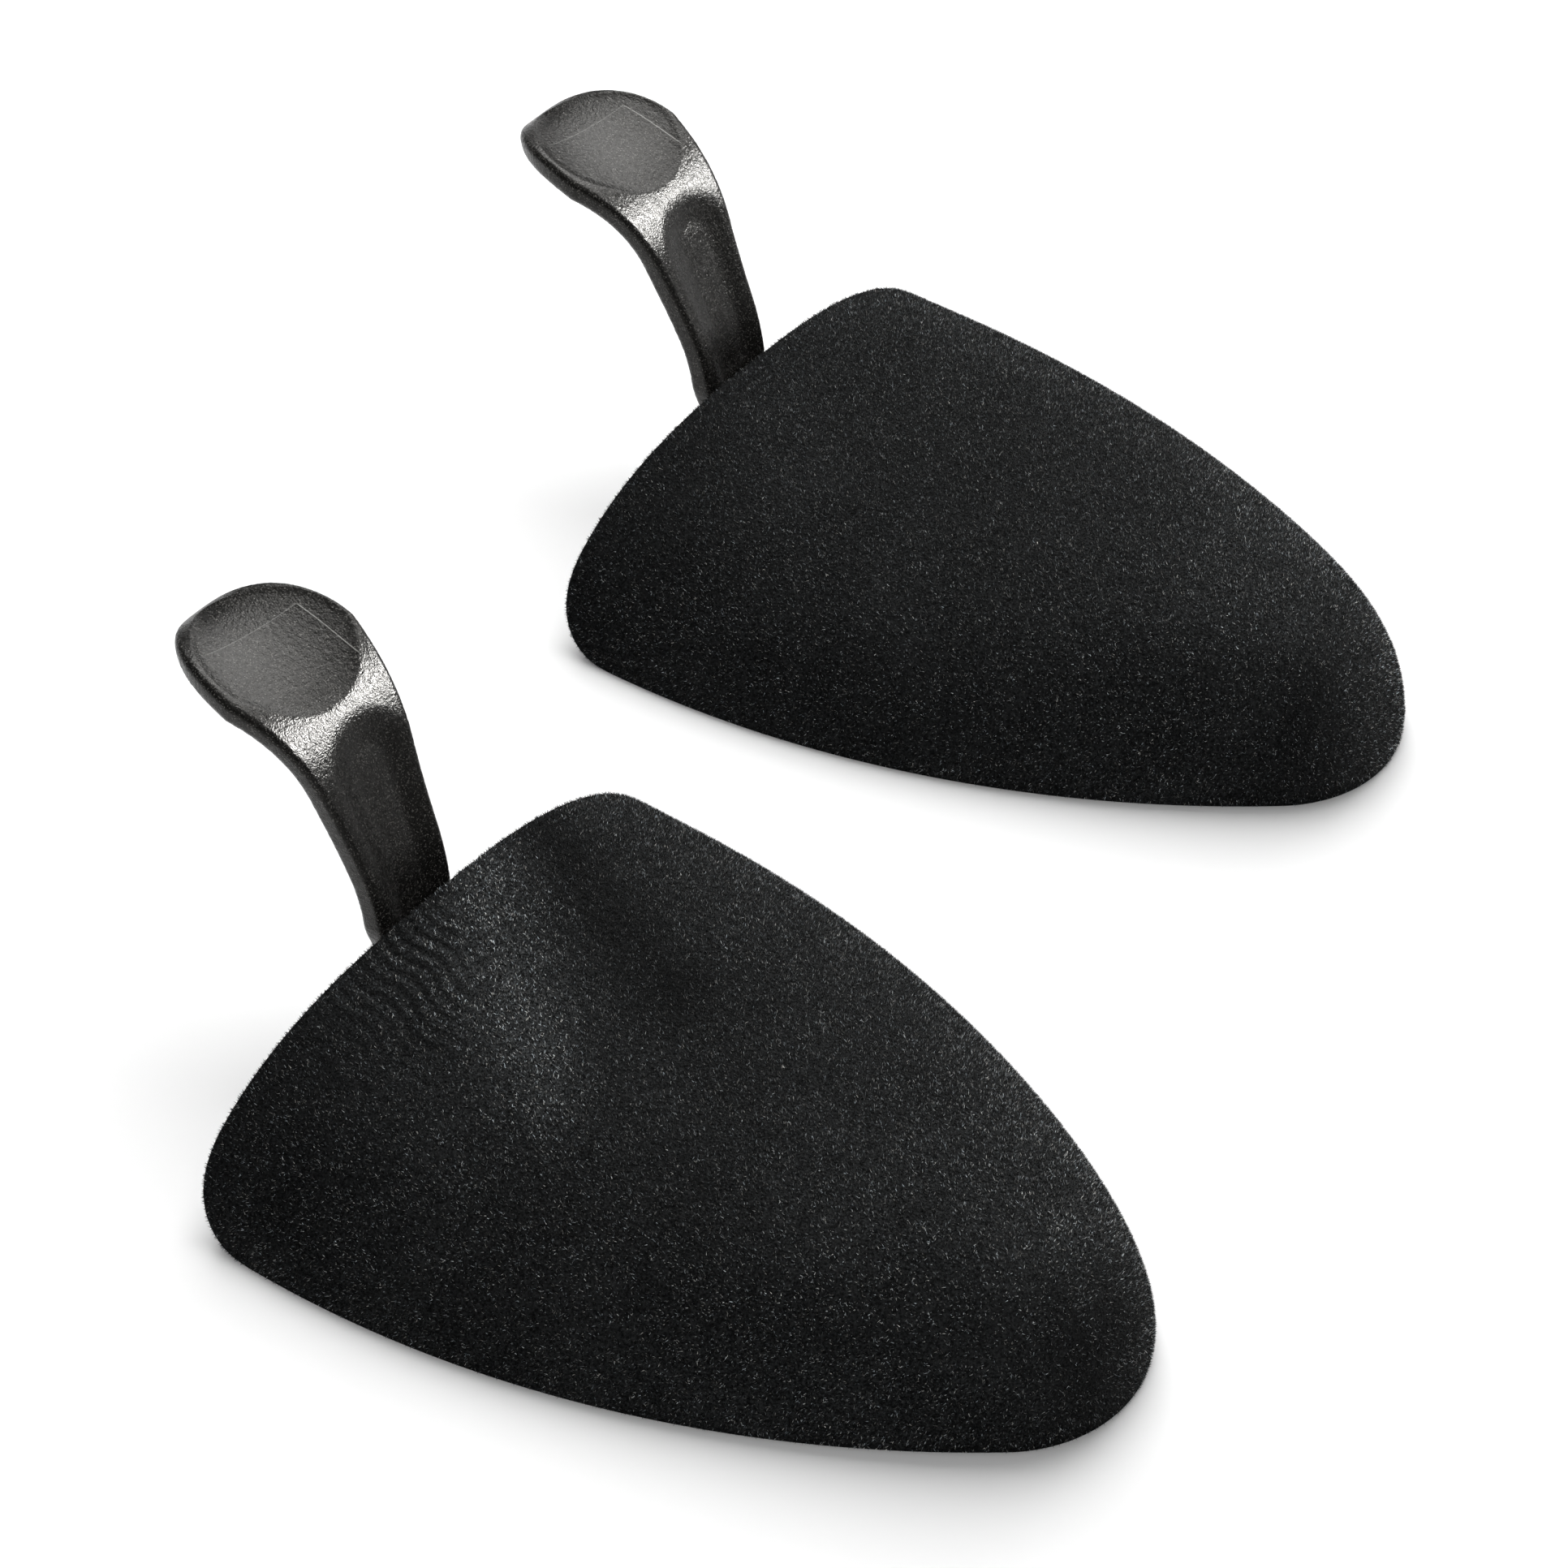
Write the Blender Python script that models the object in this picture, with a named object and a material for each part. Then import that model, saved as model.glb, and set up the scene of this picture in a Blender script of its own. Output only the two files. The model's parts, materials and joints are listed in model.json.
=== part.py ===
"""A pair of flocked shoe shapers, resting side by side on a table.

Each shaper is a thin arched toe shell with a flock layer on its outer face, and a spoon handle that
swings on a pin held by two lugs under the shell's rear edge.  Metres, +Z up, toes towards +X.
The origin is the centre of the pair's footprint, on the table.
"""

from math import atan2, cos, hypot, pi, radians, sin, sqrt

import bmesh
import bpy
from mathutils import Matrix, Vector

# Toe shell: plan outline, measured from the middle of the rear edge.
SHELL_LENGTH = 0.0883
SHELL_WIDTH = 0.0761
CORNER_RADIUS = 0.0080
CORNER_POWER = 3.7  # a rounded square: 2 would be a plain arc
CORNER_STEPS = 16
TOE_RADIUS = 0.0155

# Toe shell: arched sections over that outline.
REAR_CROWN = 0.0173
TOE_CROWN = 0.0197
CROWN_DIP = 0.0012
NOSE_POWER = 16.0
ARCH_POWER = 2.72
ARCH_ROOT = 1.69

# Layers, from the outside inwards.
FLOCK_THICKNESS = 0.0007
GLUE_GAP = 0.0003
SHELL_THICKNESS = 0.0018
SKIRT = 0.0030
OVERRUN = 0.0040
CORNER_CLEARANCE = 0.0001
ARC_STEPS = 48
ROWS = 12
COLUMNS = 20
TOE_CROWDING = 1.25
SPINE_END = 0.0715

# Hinge under the rear edge.
PIVOT_X = 0.0045
PIVOT_Z = 0.0066
PIN_RADIUS = 0.0015
BORE_RADIUS = 0.0016
BARREL_RADIUS = 0.0040
BARREL_WIDTH = 0.0084
WASHER_RADIUS = 0.0036
WASHER_THICKNESS = 0.0008
LUG_THICKNESS = 0.0025
LUG_RADIUS = 0.0042
LUG_FRONT_X = 0.0150
PIN_HEAD_RADIUS = 0.0030
PIN_HEAD_HEIGHT = 0.0012
CAP_RADIUS = 0.0032
CAP_HEIGHT = 0.0012
PIN_END = 0.0007
SIDE_PLAY = 0.0001

# Stiffening rib along the shell's underside.
RIB_THICKNESS = 0.0018
RIB_DEPTH = 0.0045
RIB_START_X = 0.0180
RIB_END_X = 0.0740
RIB_STEPS = 12

# Handle: arcs of its centre line, as (radius, turn in degrees), left turns positive.
ROOT_ARC = (0.00655, -87.0)
RISE_LENGTH = 0.00275
LEAN_ARC = (0.0240, 18.5)
SHANK_LENGTH = 0.0095
HOOK_ARC = (0.0146, 38.5)
SPOON_ARC = (0.0191, 47.0)

# Handle: widths and depths along the centre line, measured from the pivot.
HANDLE_THICKNESS = 0.0031
NECK_WIDTH = 0.0112
SPOON_WIDTH = 0.0190
NECK_AT = 0.0137
SPOON_AT = 0.0425
SQUARENESS = 4.0
TROUGH_START = 0.0110
TROUGH_FADE_IN = 0.0060
TROUGH_END = 0.0348
TROUGH_FADE_OUT = 0.0035
TROUGH_DEPTH = 0.0010
TROUGH_SHARE = 0.66
DISH_START = 0.0362
DISH_END = 0.0534
DISH_DEPTH = 0.0012
DISH_SHARE = 0.84
FLOOR_SHARE = 0.45  # how much of a hollow's half width is its flat floor
TIP_THINNING = 0.75
TIP_CUT = 0.9985  # where the last section stands, as a share of the length
HANDLE_RINGS = 30
HANDLE_SIDES = 24

# The pair on the table.
PAIR_SPACING = 0.0934
PAIR_SETBACK = 0.0294
PAIR_YAW = 0.8
LEFT_LEAN = 3.0  # how far the left handle stands folded back at rest, in degrees

COLOURS = {
    "flock": ((0.010, 0.011, 0.012), 0.95, 0.0),
    "shell": ((0.020, 0.020, 0.021), 0.55, 0.0),
    "handle": ((0.045, 0.044, 0.042), 0.42, 0.0),
    "steel": ((0.55, 0.55, 0.56), 0.30, 1.0),
    "nylon": ((0.60, 0.58, 0.53), 0.50, 0.0),
}


# ---------------------------------------------------------------- scene helpers


def clear_scene():
    for obj in list(bpy.data.objects):
        bpy.data.objects.remove(obj)


def new_collection(name):
    collection = bpy.data.collections.new(name)
    bpy.context.scene.collection.children.link(collection)
    return collection


def new_material(name):
    colour, roughness, metallic = COLOURS[name]
    material = bpy.data.materials.new(name)
    material.use_nodes = True
    shader = material.node_tree.nodes["Principled BSDF"]
    shader.inputs["Base Color"].default_value = (*colour, 1.0)
    shader.inputs["Roughness"].default_value = roughness
    shader.inputs["Metallic"].default_value = metallic
    return material


def new_object(name, mesh, collection, parent=None, material=None):
    obj = bpy.data.objects.new(name, mesh)
    collection.objects.link(obj)
    obj.parent = parent
    if material is not None:
        obj.data.materials.append(material)
    return obj


def new_cutter(name, mesh, collection, parent=None):
    cutter = new_object(name, mesh, collection, parent)
    cutter.hide_render = True
    cutter.display_type = "WIRE"
    return cutter


def add_boolean(obj, other, operation):
    modifier = obj.modifiers.new(f"{operation.lower()}_{other.name}", "BOOLEAN")
    modifier.operation = operation
    modifier.object = other


def mesh_from(bm, name, smooth_below=None):
    bmesh.ops.recalc_face_normals(bm, faces=bm.faces)
    mesh = bpy.data.meshes.new(name)
    bm.to_mesh(mesh)
    bm.free()
    if smooth_below is not None:
        mesh.shade_smooth()
        mesh.set_sharp_from_angle(angle=radians(smooth_below))
    return mesh


def cylinder_mesh(name, radius, length, segments=32):
    """A cylinder along Y, centred on the origin."""
    bm = bmesh.new()
    bmesh.ops.create_cone(
        bm, cap_ends=True, segments=segments, radius1=radius, radius2=radius, depth=length
    )
    bmesh.ops.rotate(bm, verts=bm.verts, matrix=Vector((0, 1, 0)).to_track_quat("Z", "X").to_matrix())
    return mesh_from(bm, name, smooth_below=40)


def plate_mesh(name, outline, thickness, collection):
    """A flat plate in the XZ plane, centred on y = 0, from a closed outline of (x, z) points."""
    curve = bpy.data.curves.new(name, "CURVE")
    curve.dimensions = "2D"
    curve.fill_mode = "BOTH"
    curve.extrude = thickness / 2
    spline = curve.splines.new("POLY")
    spline.points.add(len(outline) - 1)
    for point, (x, z) in zip(spline.points, outline):
        point.co = (x, z, 0.0, 1.0)
    spline.use_cyclic_u = True
    guide = bpy.data.objects.new(name + "_guide", curve)
    guide.rotation_euler = (pi / 2, 0.0, 0.0)
    collection.objects.link(guide)
    bpy.context.view_layer.update()
    graph = bpy.context.evaluated_depsgraph_get()
    mesh = bpy.data.meshes.new_from_object(guide.evaluated_get(graph))
    mesh.transform(guide.matrix_world)
    bpy.data.objects.remove(guide)
    bm = bmesh.new()
    bm.from_mesh(mesh)
    bmesh.ops.remove_doubles(bm, verts=bm.verts, dist=1e-6)
    return mesh_from(bm, name)


# ---------------------------------------------------------------- toe shell shape


def side_radius():
    """Radius of the side arc, which leaves the corner heading forwards and meets the toe arc without a kink."""
    along = SHELL_LENGTH - TOE_RADIUS - CORNER_RADIUS
    half = SHELL_WIDTH / 2
    return (along**2 + half**2 - TOE_RADIUS**2) / (2 * (half - TOE_RADIUS))


SIDE_RADIUS = side_radius()
CORNER_CENTRE = Vector((CORNER_RADIUS, SHELL_WIDTH / 2 - CORNER_RADIUS))
TOE_CENTRE = Vector((SHELL_LENGTH - TOE_RADIUS, 0.0))
SIDE_CENTRE = Vector((CORNER_RADIUS, SHELL_WIDTH / 2 - SIDE_RADIUS))
TOE_JOIN = TOE_CENTRE + (TOE_CENTRE - SIDE_CENTRE).normalized() * TOE_RADIUS


def half_width(x):
    """Half the outline's width at x; constant behind the widest point."""
    if x <= CORNER_CENTRE.x:
        return SHELL_WIDTH / 2
    if x <= TOE_JOIN.x:
        return SIDE_CENTRE.y + sqrt(SIDE_RADIUS**2 - (x - SIDE_CENTRE.x) ** 2)
    return sqrt(max(TOE_RADIUS**2 - (x - TOE_CENTRE.x) ** 2, 0.0))


def crown(x, inset=0.0):
    """Height of the shell's middle line at x, for the surface that lies inset below the outer one."""
    share = min(max(x / (SHELL_LENGTH - inset), 0.0), 1.0)
    line = REAR_CROWN + (TOE_CROWN - REAR_CROWN) * share - 4 * CROWN_DIP * share * (1 - share)
    return (line - inset) * (1 - share**NOSE_POWER) ** (1 / ARCH_ROOT)


def height(x, y, inset=0.0):
    share = min(abs(y) / max(half_width(x) - inset, 1e-9), 1.0)
    return crown(x, inset) * (1 - share**ARCH_POWER) ** (1 / ARCH_ROOT)


def arc_points(centre, radius, start, end, steps):
    """Points along an arc, from angle start to angle end, in radians."""
    angles = [start + (end - start) * i / steps for i in range(steps + 1)]
    return [centre + Vector((cos(a), sin(a))) * radius for a in angles]


def angle_of(vector):
    return atan2(vector.y, vector.x)


def resampled(points, shares):
    """Points at the given shares of a polyline's length."""
    lengths = [0.0]
    for a, b in zip(points, points[1:]):
        lengths.append(lengths[-1] + (b - a).length)
    found = []
    for share in shares:
        target = share * lengths[-1]
        i = 0
        while i < len(points) - 2 and lengths[i + 1] < target:
            i += 1
        span = max(lengths[i + 1] - lengths[i], 1e-12)
        found.append(points[i].lerp(points[i + 1], (target - lengths[i]) / span))
    return found


def side_rim():
    """The rim's left half, from behind the rear edge forward round to the toe."""
    join = angle_of(TOE_JOIN - SIDE_CENTRE)
    side = arc_points(SIDE_CENTRE, SIDE_RADIUS, pi / 2, join, ARC_STEPS)
    toe = arc_points(TOE_CENTRE, TOE_RADIUS, join, 0.0, ARC_STEPS)
    return [Vector((-OVERRUN, SHELL_WIDTH / 2))] + side + toe[1:]


def inset_rim(inset):
    """The rim's left half, moved inwards."""
    rim = side_rim()
    moved = []
    for i, point in enumerate(rim):
        ahead = rim[min(i + 1, len(rim) - 1)] - rim[max(i - 1, 0)]
        inward = Vector((ahead.y, -ahead.x)).normalized()
        moved.append(point + inward * inset)
    moved[-1] = Vector((SHELL_LENGTH - inset, 0.0))
    return moved


def plug_mesh(name, inset):
    """A solid under the surface that lies inset below the outer one, overrunning the rear edge and the table.

    Its grid is folded about the spine, so that its rows follow the rim round the toe.
    """
    across = [sin(pi / 2 * i / ROWS) for i in range(ROWS + 1)]
    rim = resampled(inset_rim(inset), [1 - (1 - i / COLUMNS) ** TOE_CROWDING for i in range(COLUMNS + 1)])
    bm = bmesh.new()
    bmesh.ops.create_grid(bm, x_segments=2 * COLUMNS, y_segments=ROWS, size=1.0)
    for vert in bm.verts:
        column = round(vert.co.x * COLUMNS)
        row = round((vert.co.y + 1) / 2 * ROWS)
        i = COLUMNS - abs(column)
        spine = Vector((-OVERRUN + (SPINE_END + OVERRUN) * i / COLUMNS, 0.0))
        plan = spine.lerp(rim[i], across[row])
        rise = 0.0 if row == ROWS else height(plan.x, plan.y, inset)
        vert.co = (plan.x, plan.y if column < 0 else -plan.y, rise)
    bmesh.ops.remove_doubles(bm, verts=bm.verts, dist=1e-6)
    on_table = [edge for edge in bm.edges if edge.is_boundary and max(v.co.z for v in edge.verts) < 1e-6]
    made = bmesh.ops.extrude_edge_only(bm, edges=on_table)["geom"]
    for vert in (g for g in made if isinstance(g, bmesh.types.BMVert)):
        vert.co.z -= SKIRT
    corners = [vert for vert in bm.verts if vert.co.z < -SKIRT / 2 and vert.co.x < -OVERRUN / 2]
    bm.edges.new(corners)
    bmesh.ops.holes_fill(bm, edges=[edge for edge in bm.edges if len(edge.link_faces) < 2])
    return mesh_from(bm, name)


def cut_away(obj, name, mesh, cutters, unit):
    add_boolean(obj, new_cutter(name, mesh, cutters, unit), "DIFFERENCE")


def make_wall(name, inset, thickness, unit, material, collection, cutters):
    """The wall between two surfaces."""
    wall = new_object(name, plug_mesh(name, inset), collection, unit, material)
    cut_away(wall, name + "_core", plug_mesh("core", inset + thickness), cutters, unit)
    return wall


def trim_wall(wall, cutters, unit):
    """Trims the rim flat on the table, and the open rear edge to the outline."""
    cut_away(wall, wall.name + "_table", table_mesh(), cutters, unit)
    cut_away(wall, wall.name + "_rear", rear_mesh(cutters), cutters, unit)


def table_mesh():
    """A block under the table plane."""
    bm = bmesh.new()
    bmesh.ops.create_cube(bm, size=1.0)
    depth = 4 * SKIRT
    bmesh.ops.scale(bm, verts=bm.verts, vec=(3 * SHELL_LENGTH, 2 * SHELL_WIDTH, depth))
    bmesh.ops.translate(bm, verts=bm.verts, vec=(0.0, 0.0, -depth / 2))
    return mesh_from(bm, "table_block")


def corner_points():
    """The left rear corner, from the side round to the rear edge."""
    centre = CORNER_CENTRE + Vector((0.0, CORNER_CLEARANCE))
    found = []
    for i in range(CORNER_STEPS + 1):
        a = pi / 2 * i / CORNER_STEPS
        back = sin(a) ** (2 / CORNER_POWER)
        side = max(cos(a), 0.0) ** (2 / CORNER_POWER)
        found.append(centre + Vector((-back, side)) * CORNER_RADIUS)
    return found


def rear_mesh(cutters):
    """A block behind the rear edge, hollowed to the outline's two rounded rear corners."""
    reach = SHELL_WIDTH
    left = corner_points()
    front = CORNER_CENTRE.x
    outline = [(-reach, reach), (front, reach)] + [(p.x, p.y) for p in left]
    outline += [(p.x, -p.y) for p in left[::-1]] + [(front, -reach), (-reach, -reach)]
    mesh = plate_mesh("rear_block", outline, 4 * TOE_CROWN, cutters)
    mesh.transform(Matrix.Rotation(-pi / 2, 4, "X"))
    return mesh


# ---------------------------------------------------------------- lugs and rib


def lug_outline():
    """A tab that hangs from the shell and rounds off below the pivot."""
    top = crown(PIVOT_X, FLOCK_THICKNESS + GLUE_GAP + SHELL_THICKNESS / 2)
    rounded = arc_points(Vector((PIVOT_X, PIVOT_Z)), LUG_RADIUS, pi, 2 * pi, 16)
    return [(p.x, p.y) for p in rounded] + [(LUG_FRONT_X, top), (PIVOT_X - LUG_RADIUS, top)]


def lug_middle():
    """Distance from the middle plane to the middle of a lug."""
    return BARREL_WIDTH / 2 + WASHER_THICKNESS + 2 * SIDE_PLAY + LUG_THICKNESS / 2


def rib_outline():
    """A rib that follows the inner face of the shell along the middle line."""
    root = FLOCK_THICKNESS + GLUE_GAP + SHELL_THICKNESS / 2
    stations = [i / RIB_STEPS for i in range(RIB_STEPS + 1)]
    top = []
    low = []
    for t in stations:
        x = RIB_START_X + (RIB_END_X - RIB_START_X) * t
        top.append((x, crown(x, root)))
        low.append((x, crown(x, root + SHELL_THICKNESS) - RIB_DEPTH * sqrt(sin(pi * t))))
    return top + low[::-1]


def make_toe_shell(name, unit, material, collection, cutters):
    inset = FLOCK_THICKNESS + GLUE_GAP
    shell = make_wall(name, inset, SHELL_THICKNESS, unit, material, collection, cutters)
    lug = plate_mesh("lug", lug_outline(), LUG_THICKNESS, cutters)
    for side in (-1, 1):
        tab = new_cutter(f"{name}_lug_{side}", lug, cutters, unit)
        tab.location.y = side * lug_middle()
        add_boolean(shell, tab, "UNION")
    rib = new_cutter(name + "_rib", plate_mesh("rib", rib_outline(), RIB_THICKNESS, cutters), cutters, unit)
    add_boolean(shell, rib, "UNION")
    bore = new_cutter(name + "_bore", cylinder_mesh("bore", BORE_RADIUS, 4 * BARREL_WIDTH), cutters, unit)
    bore.location = (PIVOT_X, 0.0, PIVOT_Z)
    add_boolean(shell, bore, "DIFFERENCE")
    trim_wall(shell, cutters, unit)
    shell.data.shade_smooth()
    return shell


# ---------------------------------------------------------------- handle


def centre_line():
    """The handle's centre line: (radius, turn) for an arc, (None, length) for a straight stretch."""
    arcs = [(radius, radians(turn)) for radius, turn in (ROOT_ARC, LEAN_ARC, HOOK_ARC, SPOON_ARC)]
    return [arcs[0], (None, RISE_LENGTH), arcs[1], (None, SHANK_LENGTH), arcs[2], arcs[3]]


def stretch_length(stretch):
    radius, amount = stretch
    return amount if radius is None else radius * abs(amount)


HANDLE_LENGTH = sum(stretch_length(stretch) for stretch in centre_line())


def walk(distance):
    """Position and heading at a distance along the centre line, in the XZ plane from the pivot."""
    point, heading = Vector((0.0, 0.0)), pi
    for radius, amount in centre_line():
        length = stretch_length((radius, amount))
        part = min(distance, length)
        if radius is None:
            point = point + Vector((cos(heading), sin(heading))) * part
        else:
            side = 1 if amount > 0 else -1
            left = Vector((-sin(heading), cos(heading)))
            centre = point + left * radius * side
            heading += side * part / radius
            left = Vector((-sin(heading), cos(heading)))
            point = centre - left * radius * side
        distance -= part
        if distance <= 0:
            break
    return point, heading


def smooth(t):
    t = min(max(t, 0.0), 1.0)
    return t * t * (3 - 2 * t)


def handle_width(s):
    if s <= NECK_AT:
        root = BARREL_WIDTH - 4 * SIDE_PLAY
        return root + (NECK_WIDTH - root) * smooth((s - 0.5 * NECK_AT) / (0.5 * NECK_AT))
    if s <= SPOON_AT:
        return NECK_WIDTH + (SPOON_WIDTH - NECK_WIDTH) * ((s - NECK_AT) / (SPOON_AT - NECK_AT)) ** 2
    return SPOON_WIDTH * sqrt(max(1 - ((s - SPOON_AT) / (HANDLE_LENGTH - SPOON_AT)) ** 2, 0.0))


def hollow(radius):
    """Depth of a hollow of depth 1 and radius 1: a flat floor with walls that ease out to the edge."""
    return 1 - smooth((radius - FLOOR_SHARE) / (1 - FLOOR_SHARE))


def relief(s, share):
    """Depth of the trough and of the thumb dish below the front face, at a share of the half width."""
    ends = smooth((s - TROUGH_START) / TROUGH_FADE_IN) * smooth((TROUGH_END - s) / TROUGH_FADE_OUT)
    trough = TROUGH_DEPTH * ends * hollow(abs(share) / TROUGH_SHARE)
    middle = (DISH_START + DISH_END) / 2
    reach = (DISH_END - DISH_START) / 2
    dish = DISH_DEPTH * hollow(hypot((s - middle) / reach, share / DISH_SHARE))
    return trough + dish


def ring_stations():
    """Distances of the handle's sections, closer together towards the tip."""
    last = HANDLE_LENGTH * TIP_CUT
    stations = [last * sin(pi / 2 * i / HANDLE_RINGS) for i in range(HANDLE_RINGS + 1)]
    even = [last * i / HANDLE_RINGS for i in range(HANDLE_RINGS + 1)]
    return [0.45 * a + 0.55 * b for a, b in zip(stations, even)]


def handle_ring(s):
    """One closed section: a rounded oblong with the relief sunk into its front face."""
    point, heading = walk(s)
    front = Vector((sin(heading), -cos(heading)))
    half = handle_width(s) / 2
    end = max((s - SPOON_AT) / (HANDLE_LENGTH - SPOON_AT), 0.0)
    thick = HANDLE_THICKNESS / 2 * (1 - TIP_THINNING * end**6)
    ring = []
    for k in range(HANDLE_SIDES):
        a = 2 * pi * (k + 0.5) / HANDLE_SIDES
        across = abs(cos(a)) ** (2 / SQUARENESS) * (1 if cos(a) > 0 else -1)
        out = abs(sin(a)) ** (2 / SQUARENESS) * (1 if sin(a) > 0 else -1)
        rise = thick * out
        if out > 0:
            rise -= relief(s, across) * out**2
        at = point + front * rise
        ring.append(Vector((at.x, across * half, at.y)))
    return ring


def handle_mesh():
    """The handle's bar, lofted through its sections.  Its origin is on the pivot."""
    bm = bmesh.new()
    rings = [[bm.verts.new(p) for p in handle_ring(s)] for s in ring_stations()]
    for a, b in zip(rings, rings[1:]):
        for k in range(HANDLE_SIDES):
            n = (k + 1) % HANDLE_SIDES
            bm.faces.new((a[k], a[n], b[n], b[k]))
    for ring in (rings[0], rings[-1]):
        bm.faces.new(ring)
    return mesh_from(bm, "handle", smooth_below=50)


def make_handle(name, unit, lean, material, collection, cutters):
    handle = new_object(name, handle_mesh(), collection, unit, material)
    handle.location = (PIVOT_X, 0.0, PIVOT_Z)
    handle.rotation_euler.y = -lean
    barrel = new_cutter(name + "_barrel", cylinder_mesh("barrel", BARREL_RADIUS, BARREL_WIDTH), cutters, unit)
    barrel.location = handle.location
    add_boolean(handle, barrel, "UNION")
    bore = new_cutter(name + "_bore", cylinder_mesh("bore", BORE_RADIUS, 2 * BARREL_WIDTH), cutters, unit)
    bore.location = handle.location
    add_boolean(handle, bore, "DIFFERENCE")
    return handle


# ---------------------------------------------------------------- hinge hardware


def turned_mesh(name, profile, segments=32):
    """A solid turned about Y from (radius, y) points that start and end on the axis."""
    bm = bmesh.new()
    verts = [bm.verts.new((r, y, 0.0)) for r, y in profile]
    edges = [bm.edges.new(pair) for pair in zip(verts, verts[1:])]
    bmesh.ops.spin(
        bm, geom=verts + edges, cent=(0, 0, 0), axis=(0, 1, 0), angle=2 * pi, steps=segments, use_merge=True
    )
    bmesh.ops.remove_doubles(bm, verts=bm.verts, dist=1e-6)
    return mesh_from(bm, name, smooth_below=40)


def ring_mesh(name, outer, inner, thickness):
    """A flat ring about Y, centred on the origin."""
    bm = bmesh.new()
    half = thickness / 2
    corners = [(inner, -half), (outer, -half), (outer, half), (inner, half)]
    verts = [bm.verts.new((r, y, 0.0)) for r, y in corners]
    edges = [bm.edges.new((verts[i], verts[(i + 1) % 4])) for i in range(4)]
    bmesh.ops.spin(
        bm, geom=verts + edges, cent=(0, 0, 0), axis=(0, 1, 0), angle=2 * pi, steps=32, use_merge=True
    )
    bmesh.ops.remove_doubles(bm, verts=bm.verts, dist=1e-6)
    return mesh_from(bm, name, smooth_below=40)


def make_pin(name, unit, material, collection):
    """A domed-head pin through both lugs, with its head on the right."""
    face = lug_middle() + LUG_THICKNESS / 2 + SIDE_PLAY
    end = face + CAP_HEIGHT + PIN_END
    top = -face - PIN_HEAD_HEIGHT
    profile = [
        (0.0, top),
        (0.55 * PIN_HEAD_RADIUS, top + 0.12 * PIN_HEAD_HEIGHT),
        (0.88 * PIN_HEAD_RADIUS, top + 0.45 * PIN_HEAD_HEIGHT),
        (PIN_HEAD_RADIUS, top + 0.80 * PIN_HEAD_HEIGHT),
        (PIN_HEAD_RADIUS, -face),
        (PIN_RADIUS, -face),
        (PIN_RADIUS, end - 0.3 * PIN_RADIUS),
        (0.7 * PIN_RADIUS, end),
        (0.0, end),
    ]
    pin = new_object(name, turned_mesh("pin", profile), collection, unit, material)
    pin.location = (PIVOT_X, 0.0, PIVOT_Z)
    return pin


def make_ring(name, outer, thickness, y, unit, material, collection):
    ring = new_object(name, ring_mesh("ring", outer, BORE_RADIUS, thickness), collection, unit, material)
    ring.location = (PIVOT_X, y, PIVOT_Z)
    return ring


# ---------------------------------------------------------------- assembly


def make_shaper(side, position, yaw, lean, materials, parts, cutters):
    unit = bpy.data.objects.new(side + "_shaper", None)
    unit.location = position
    unit.rotation_euler.z = yaw
    parts.objects.link(unit)
    flock = side + "_flock_cover"
    cover = make_wall(flock, 0.0, FLOCK_THICKNESS, unit, materials["flock"], parts, cutters)
    trim_wall(cover, cutters, unit)
    make_toe_shell(side + "_toe_shell", unit, materials["shell"], parts, cutters)
    make_handle(side + "_handle", unit, lean, materials["handle"], parts, cutters)
    make_pin(side + "_hinge_pin", unit, materials["steel"], parts)
    washer_y = BARREL_WIDTH / 2 + SIDE_PLAY + WASHER_THICKNESS / 2
    for where, y in (("left", washer_y), ("right", -washer_y)):
        name = f"{side}_friction_washer_{where}"
        make_ring(name, WASHER_RADIUS, WASHER_THICKNESS, y, unit, materials["nylon"], parts)
    cap_y = lug_middle() + LUG_THICKNESS / 2 + SIDE_PLAY + CAP_HEIGHT / 2
    make_ring(side + "_pin_cap", CAP_RADIUS, CAP_HEIGHT, cap_y, unit, materials["steel"], parts)


def handle_reach(lean):
    """How far the tip of a handle folded back by lean stands behind the shell's rear edge."""
    point, _ = walk(HANDLE_LENGTH)
    return point.y * sin(lean) - point.x * cos(lean) - PIVOT_X


def main():
    clear_scene()
    parts = new_collection("shoe_shapers")
    cutters = new_collection("cutters")
    materials = {name: new_material(name) for name in COLOURS}
    lean = radians(LEFT_LEAN)
    right_x = -(SHELL_LENGTH - handle_reach(lean) - PAIR_SETBACK) / 2
    half = PAIR_SPACING / 2
    make_shaper("right", (right_x, -half, 0.0), 0.0, 0.0, materials, parts, cutters)
    left_at = (right_x - PAIR_SETBACK, half, 0.0)
    make_shaper("left", left_at, radians(PAIR_YAW), lean, materials, parts, cutters)


main()
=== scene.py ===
"""Looks for a pair of flocked shoe shapers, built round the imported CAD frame."""

import json
from math import atan2, cos, pi, radians, sin, sqrt

import bmesh
import bpy
import numpy as np
from mathutils import Matrix, Vector
from mathutils.kdtree import KDTree


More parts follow.
